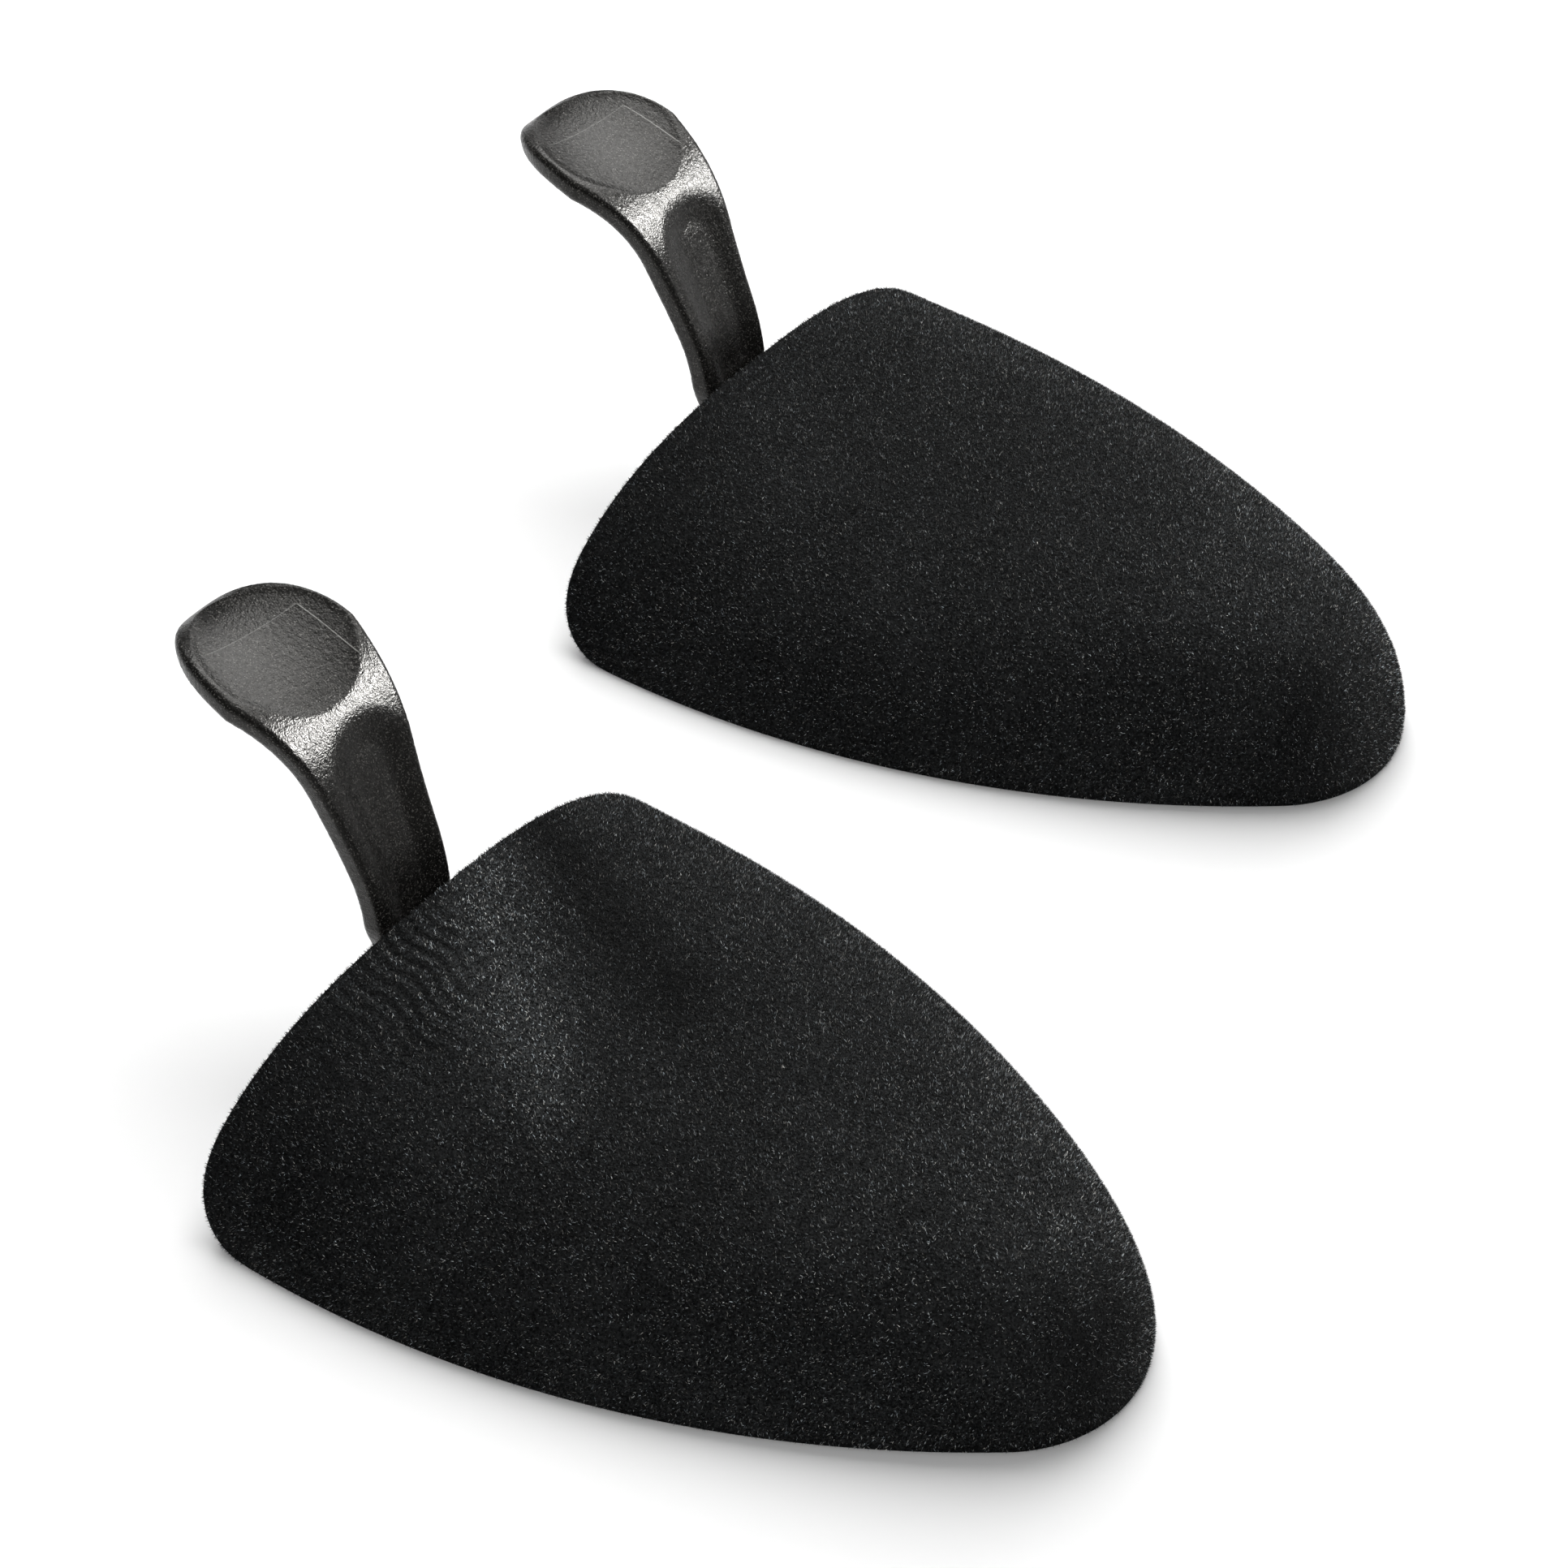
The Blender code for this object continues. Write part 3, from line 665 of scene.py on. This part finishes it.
def fibre_mesh(name, at, along, length, width, shade, turn):
    """One closed, three-sided spike for each fibre."""
    count = len(at)
    upright, level = np.array([[0.0, 0.0, 1.0]]), np.array([[1.0, 0.0, 0.0]])
    helper = np.where(np.abs(along[:, 2:3]) < 0.9, upright, level)
    u = np.cross(along, helper)
    u /= np.linalg.norm(u, axis=1)[:, None]
    v = np.cross(along, u)
    points = np.empty((count, 4, 3))
    for k in range(3):
        angle = turn + 2 * pi * k / 3
        spoke = np.cos(angle)[:, None] * u + np.sin(angle)[:, None] * v
        points[:, k] = at + width[:, None] / 2 * spoke
    points[:, 3] = at + along * length[:, None]
    first = np.arange(count)[:, None, None] * 4
    faces = first + np.array([[0, 2, 1], [0, 1, 3], [1, 2, 3], [2, 0, 3]])
    mesh = bpy.data.meshes.new(name)
    mesh.vertices.add(4 * count)
    mesh.vertices.foreach_set("co", points.ravel())
    mesh.loops.add(12 * count)
    mesh.loops.foreach_set("vertex_index", faces.ravel().astype(np.int32))
    mesh.polygons.add(4 * count)
    mesh.polygons.foreach_set("loop_start", np.arange(0, 12 * count, 3, dtype=np.int32))
    mesh.update(calc_edges=True)
    add_attribute(mesh, "shade", np.repeat(shade, 4))
    return mesh


def make_nap(side, number, skin, matrix, material, count, stray, rng):
    """A coat of fibres rooted in the skin's outer face.  With stray 1, not 0, they are longer and looser."""
    at, out, local = outer_roots(skin, matrix, count, rng)
    count = len(at)
    # The tone paints light, shade and sheen into the fibres, with the right shaper's wear; the bright fibres
    # carry a painted glint.
    tone = tone_at(side, local)
    bright = rng.random(count) < (1.0 if stray else BRIGHT_SHARE)
    glint = 0.105 * np.exp(0.80 * rng.normal(0, 1, count)) * tone
    shade = np.where(bright, glint, 0.0086 * np.sqrt(tone))
    rubbed_and_sheen = np.clip(tone - 1, 0, 1.5)
    shade = np.clip(shade * np.exp((0.20 + 0.45 * rubbed_and_sheen) * tufts(local, rng)), 0.003, 0.8)
    along = fibre_directions(out, 0.45 + 0.25 * stray, rng)
    length = rng.uniform(*FIBRE_LENGTH, count) * (1 + 0.4 * stray)
    width = rng.uniform(*FIBRE_WIDTH, count) * np.where(bright, 1.1, 1.0)
    width *= (1 + 0.25 * rubbed_and_sheen) * (1 - 0.3 * stray)
    low = at[:, 2] + along[:, 2] * length < LOWEST_TIP
    along[:, 2] = np.where(low, np.maximum(along[:, 2], 0), along[:, 2])
    turn = rng.uniform(0, 2 * pi, count)
    mesh = fibre_mesh(f"{side}_nap_{number}", at, along, length, width, shade, turn)
    obj = bpy.data.objects.new(mesh.name, mesh)
    bpy.context.scene.collection.objects.link(obj)
    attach(obj, "shells")
    paint(obj, material)


# ---------------------------------------------------------------- shell wall, lugs and rib


def slab(outline, thickness, y, chamfer):
    """Points and faces of a plate in the XZ plane with chamfered edges, centred on y."""
    ring = np.array(outline)
    middle = ring.mean(0)
    inner = middle + (ring - middle) * (1 - chamfer / np.linalg.norm(ring - middle, axis=1)[:, None])
    half = thickness / 2
    layers = [(inner, -half), (ring, -half + chamfer), (ring, half - chamfer), (inner, half)]
    points = [np.stack([r[:, 0], np.full(len(r), y + d), r[:, 1]], 1) for r, d in layers]
    count = len(ring)
    faces = []
    for k in range(3):
        for i in range(count):
            j = (i + 1) % count
            faces.append((k * count + i, k * count + j, (k + 1) * count + j, (k + 1) * count + i))
    faces.append(tuple(range(count)))
    faces.append(tuple(range(3 * count, 4 * count)))
    return np.concatenate(points), faces


def make_wall(side, arch, matrix, material):
    outer = arch.sheet(SHELL_OUTER, SHELL_GRID)
    inner = arch.sheet(SHELL_INNER, SHELL_GRID)
    points, faces = closed_wall(outer, inner, SHELL_EDGE)
    wall = add_mesh(side + "_shell_wall", points, faces, matrix, "shells")
    paint(wall, material)
    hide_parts(side + "_toe_shell")


def make_lugs(side, arch, matrix, material):
    """Two tabs that hang from the wall and carry the hinge pin."""
    roof = arch.height(np.array([PIVOT.x]), np.array([0.0]), SHELL_OUTER + SHELL_THICKNESS / 2)
    top = float(roof[0])
    turn = np.linspace(pi, 2 * pi, 25)
    round_end = [(PIVOT.x + LUG_RADIUS * cos(a), PIVOT.z + LUG_RADIUS * sin(a)) for a in turn]
    outline = round_end + [(LUG_FRONT, top), (PIVOT.x - LUG_RADIUS, top)]
    for where, y in (("left", LUG_MIDDLE), ("right", -LUG_MIDDLE)):
        points, faces = slab(outline, LUG_THICKNESS, y, LUG_CHAMFER)
        lug = add_mesh(f"{side}_shell_lug_{where}", points, faces, matrix, "shells", smooth_faces=False)
        paint(lug, material)


def make_rib(side, arch, matrix, material):
    """A rib along the middle of the wall's underside."""
    share = np.linspace(0, 1, RIB_STATIONS)
    x = RIB_START + (RIB_END - RIB_START) * share
    roof = arch.height(x, 0 * x, SHELL_OUTER + SHELL_THICKNESS / 2)
    low = arch.height(x, 0 * x, SHELL_INNER) - RIB_DEPTH * np.sqrt(np.sin(pi * share)) - RIB_LAP
    ring = np.concatenate([np.stack([x, roof], 1), np.stack([x, low], 1)[::-1]])
    half = RIB_THICKNESS / 2
    points = np.concatenate([np.insert(ring, 1, -half, axis=1), np.insert(ring, 1, half, axis=1)])
    count = len(ring)
    faces = [(i, (i + 1) % count, count + (i + 1) % count, count + i) for i in range(count)]
    cap = [(i, i + 1, count - 2 - i, count - 1 - i) for i in range(len(x) - 1)]
    faces += cap + [tuple(k + count for k in face) for face in cap]
    rib = add_mesh(side + "_shell_rib", points, faces, matrix, "shells", smooth_faces=False)
    paint(rib, material)


# ---------------------------------------------------------------- handle


def stretch_length(stretch):
    radius, amount = stretch
    return amount if radius is None else radius * abs(amount)


HANDLE_LENGTH = sum(stretch_length(stretch) for stretch in HANDLE_LINE)
BAR_END = HANDLE_LENGTH * 0.9992  # just short of the tip, where the width would be nothing


def walk(distance):
    """Position and heading at a distance along the handle's centre line, from the pivot, in the XZ plane."""
    point, heading = np.zeros(2), pi
    for radius, amount in HANDLE_LINE:
        part = min(distance, stretch_length((radius, amount)))
        if radius is None:
            point = point + np.array([cos(heading), sin(heading)]) * part
        else:
            side = 1 if amount > 0 else -1
            centre = point + np.array([-sin(heading), cos(heading)]) * radius * side
            heading += side * part / radius
            point = centre - np.array([-sin(heading), cos(heading)]) * radius * side
        distance -= part
        if distance <= 0:
            break
    return point, heading


def handle_width(s):
    if s <= NECK_AT:
        return ROOT_WIDTH + (NECK_WIDTH - ROOT_WIDTH) * float(smooth((s - 0.5 * NECK_AT) / (0.5 * NECK_AT)))
    if s <= SPOON_AT:
        return NECK_WIDTH + (SPOON_WIDTH - NECK_WIDTH) * ((s - NECK_AT) / (SPOON_AT - NECK_AT)) ** 2
    return SPOON_WIDTH * sqrt(max(1 - ((s - SPOON_AT) / (HANDLE_LENGTH - SPOON_AT)) ** 2, 0.0))


def trough_depth(s, y, half):
    """The trough starts softly, widens with the shank and ends round below the dish."""
    radius = TROUGH_SHARE * half
    past = max(s - (TROUGH_TOP - radius), 0.0)
    r = np.hypot(past, y - 0.10 * half) / radius
    start = float(smooth((s - TROUGH_START) / (6 * MM)))
    return TROUGH_DEPTH * start * smooth((1.04 - r) / 0.72)


def dish_depth(s, y, half):
    """The dish is a bowl, let in by a small step round its edge."""
    wide = max(half - DISH_RIM, 0.1 * MM)
    along = abs((s - DISH_MIDDLE) / DISH_REACH)
    across = np.abs((y - 0.03 * half) / wide)
    q = (along**DISH_POWER + across**DISH_POWER) ** (1 / DISH_POWER)
    return DISH_DEPTH * (1 - np.clip(q, 0, 1) ** 2.0) + DISH_STEP * smooth((1.04 - q) / 0.16)


def rounding(centre_y, centre_d, radius, start):
    """A quarter circle, clockwise from the start angle in degrees: its y and its depth."""
    turn = np.radians(np.linspace(start, start - 90, ROUND_COLUMNS))
    return np.stack([centre_y + radius * np.cos(turn), centre_d + radius * np.sin(turn)])


def handle_ring(s):
    """One closed section: a rounded oblong whose front face carries the relief."""
    point, heading = walk(s)
    front = np.array([sin(heading), -cos(heading)])
    half = max(handle_width(s) / 2, 0.15 * MM)
    end = max((s - SPOON_AT) / (HANDLE_LENGTH - SPOON_AT), 0.0)
    thick = HANDLE_THICKNESS / 2 * (1 - TIP_THINNING * end**6)
    head = float(smooth((s - 26 * MM) / (10 * MM)))
    r_front = min(FRONT_ROUNDING, 0.45 * half, 0.6 * thick)
    r_back = min(SHANK_ROUNDING + (HEAD_ROUNDING - SHANK_ROUNDING) * head, 0.45 * half, 0.95 * thick)
    face = np.linspace(r_front - half, half - r_front, FACE_COLUMNS)
    sunk = thick - trough_depth(s, face, half) - dish_depth(s, face, half)
    back = np.linspace(half - r_back, r_back - half, BACK_COLUMNS)[1:-1]
    outline = [
        np.stack([face, sunk]),
        rounding(half - r_front, thick - r_front, r_front, 90)[:, 1:],
        rounding(half - r_back, r_back - thick, r_back, 0),
        np.stack([back, np.full(len(back), -thick)]),
        rounding(r_back - half, r_back - thick, r_back, -90),
        rounding(r_front - half, thick - r_front, r_front, -180)[:, :-1],
    ]
    y, d = np.concatenate(outline, axis=1)
    return np.stack([point[0] + front[0] * d, y, point[1] + front[1] * d], 1)


def grain_offsets(rings, rng):
    """Spark-eroded grain: each point moves a few micrometres along the surface's normal."""
    across = np.roll(rings, -1, 1) - np.roll(rings, 1, 1)
    along = np.gradient(rings, axis=0)
    normal = np.cross(across, along)
    normal /= np.maximum(np.linalg.norm(normal, axis=2), 1e-12)[:, :, None]
    rough = rng.normal(0, 1, rings.shape[:2])
    rough = 0.5 * rough + 0.25 * (np.roll(rough, 1, 1) + np.roll(rough, 1, 0))
    fade = np.clip(np.arange(len(rings))[::-1] / 12, 0, 1)[:, None]
    step = np.clip(np.linalg.norm(across, axis=2) / 2, *GRAIN_REACH)
    return normal * (GRAIN_SLOPE * rough * fade * step)[:, :, None]


def nearest_stations(points, stations, count, place):
    """Distance along the handle of each place, from the nearest of the loft's points."""
    tree = KDTree(len(points))
    for k, point in enumerate(points):
        tree.insert(point, k)
    tree.balance()
    found = [tree.find(p)[1] for p in place]
    return np.repeat(stations, count)[found]


def make_bar(side, matrix, material, rng):
    t = np.linspace(0, 1, RINGS)
    stations = BAR_START + (BAR_END - BAR_START) * (0.78 * t + 0.22 * np.sin(pi / 2 * t))
    rings = np.array([handle_ring(s) for s in stations])
    count = rings.shape[1]
    rings += grain_offsets(rings, rng)
    points = rings.reshape(-1, 3) + np.array([PIVOT.x, 0, PIVOT.z])
    faces = []
    for a in range(0, len(points) - count, count):
        for k in range(count):
            n = (k + 1) % count
            faces.append((a + k, a + n, a + count + n, a + count + k))
    faces.append(tuple(range(count)))
    faces.append(tuple(range(len(points) - count, len(points))))
    bar = add_mesh(side + "_handle_bar", points, faces, matrix, side + "_handle")
    place = local_points(bar.data, matrix)
    add_attribute(bar.data, "along", nearest_stations(points, stations, count, place) / MM)
    add_attribute(bar.data, "across", place[:, 1] / MM)
    paint(bar, material)
    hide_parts(side + "_handle")


def make_barrel(side, matrix, material):
    """The handle's hinge eye: a bored cylinder with chamfered ends."""
    half = BARREL_WIDTH / 2
    profile = [
        (BORE_RADIUS, -half),
        (BARREL_RADIUS - BARREL_CHAMFER, -half),
        (BARREL_RADIUS, -half + BARREL_CHAMFER),
        (BARREL_RADIUS, half - BARREL_CHAMFER),
        (BARREL_RADIUS - BARREL_CHAMFER, half),
        (BORE_RADIUS, half),
    ]
    count = len(profile)
    points = []
    faces = []
    for i in range(BARREL_STEPS):
        a = 2 * pi * i / BARREL_STEPS
        points += [(PIVOT.x + r * cos(a), y, PIVOT.z + r * sin(a)) for r, y in profile]
        j = (i + 1) % BARREL_STEPS
        for k in range(count):
            n = (k + 1) % count
            faces.append((i * count + k, i * count + n, j * count + n, j * count + k))
    name = side + "_handle_barrel"
    barrel = add_mesh(name, points, faces, matrix, side + "_handle", smooth_faces=False)
    paint(barrel, material)


# ---------------------------------------------------------------- stage


def make_floor():
    bm = bmesh.new()
    bmesh.ops.create_grid(bm, x_segments=8, y_segments=8, size=2.5)
    mesh = bpy.data.meshes.new("floor")
    bm.to_mesh(mesh)
    bm.free()
    floor = bpy.data.objects.new("floor", mesh)
    bpy.context.scene.collection.objects.link(floor)
    paint(floor, floor_material())


def add_area(name, direction, distance, size, energy):
    """A soft light that faces the object from the given direction."""
    light = bpy.data.lights.new(name, "AREA")
    light.shape = "RECTANGLE"
    light.size, light.size_y = size
    light.energy = energy
    obj = bpy.data.objects.new(name, light)
    obj.location = Vector(direction).normalized() * distance
    obj.rotation_euler = (-obj.location).to_track_quat("-Z", "Y").to_euler()
    bpy.context.scene.collection.objects.link(obj)
    return obj


def make_lights():
    """Back, top and fill light the pile and the floor; panel and key are what the plastic reflects."""
    back = add_area("back", (-0.30, 0.52, 0.76), 1.0, (0.9, 0.9), 15.4)
    back.visible_glossy = False
    add_area("top", (0.0, 0.0, 1.0), 1.3, (1.6, 1.6), 3.6)
    panel = add_area("panel", (-0.24, 0.60, 0.76), 1.0, (0.7, 0.7), 11.5)
    panel.visible_diffuse = False
    key = add_area("key", (0.58, 0.60, 0.56), 1.0, (0.34, 0.28), 54.0)
    key.visible_diffuse = False
    fill = add_area("fill", (0.55, -0.80, 0.30), 1.0, (1.3, 0.5), 3.0)
    fill.visible_glossy = False
    fill.data.use_shadow = False


def make_world():
    world = bpy.data.worlds.new("studio")
    world.use_nodes = True
    background = world.node_tree.nodes["Background"]
    background.inputs["Color"].default_value = (1.0, 1.0, 1.0, 1.0)
    background.inputs["Strength"].default_value = 0.22
    bpy.context.scene.world = world
    bpy.context.scene.view_settings.view_transform = "Standard"


def make_camera():
    azimuth, elevation, distance = radians(37.0), radians(41.5), 0.535
    target = Vector((-0.0073, 0.0058, 0.0))
    back = Vector((sin(azimuth) * cos(elevation), -cos(azimuth) * cos(elevation), sin(elevation)))
    camera = bpy.data.cameras.new("camera")
    camera.sensor_width = 36.0
    camera.lens = 110.7
    obj = bpy.data.objects.new("camera", camera)
    obj.location = target + back * distance
    obj.rotation_euler = (-back).to_track_quat("-Z", "Y").to_euler()
    bpy.context.scene.collection.objects.link(obj)
    bpy.context.scene.camera = obj


# ---------------------------------------------------------------- assembly


def make_shaper(side, arch, bed, nap, shell, plastic, rng):
    matrix = unit_matrix(side)
    skin = make_skin(side, arch, matrix, bed)
    for number in range(1, COATS + 1):
        make_nap(side, number, skin, matrix, nap, COAT_FIBRES, 0, rng)
    make_nap(side, COATS + 1, skin, matrix, nap, STRAY_FIBRES, 1, rng)
    make_wall(side, arch, matrix, shell)
    make_lugs(side, arch, matrix, shell)
    make_rib(side, arch, matrix, shell)
    leaning = handle_matrix(side, matrix)
    make_bar(side, leaning, plastic, rng)
    make_barrel(side, leaning, plastic)


def paint_hardware():
    """The pins, caps and washers keep their CAD shapes and get finished materials."""
    steel, nylon = steel_material(), nylon_material()
    for name, node in frame["nodes"].items():
        if "washer" in name:
            paint(node, nylon)
        elif "pin" in name:
            paint(node, steel)


def main():
    arch = Arch("right_flock_cover")
    bed, nap = skin_material(), nap_material()
    shell, plastic = shell_material(), handle_material()
    for seed, side in ((11, "right"), (12, "left")):
        make_shaper(side, arch, bed, nap, shell, plastic, np.random.default_rng(seed))
    paint_hardware()
    make_floor()
    make_lights()
    make_world()
    make_camera()


main()
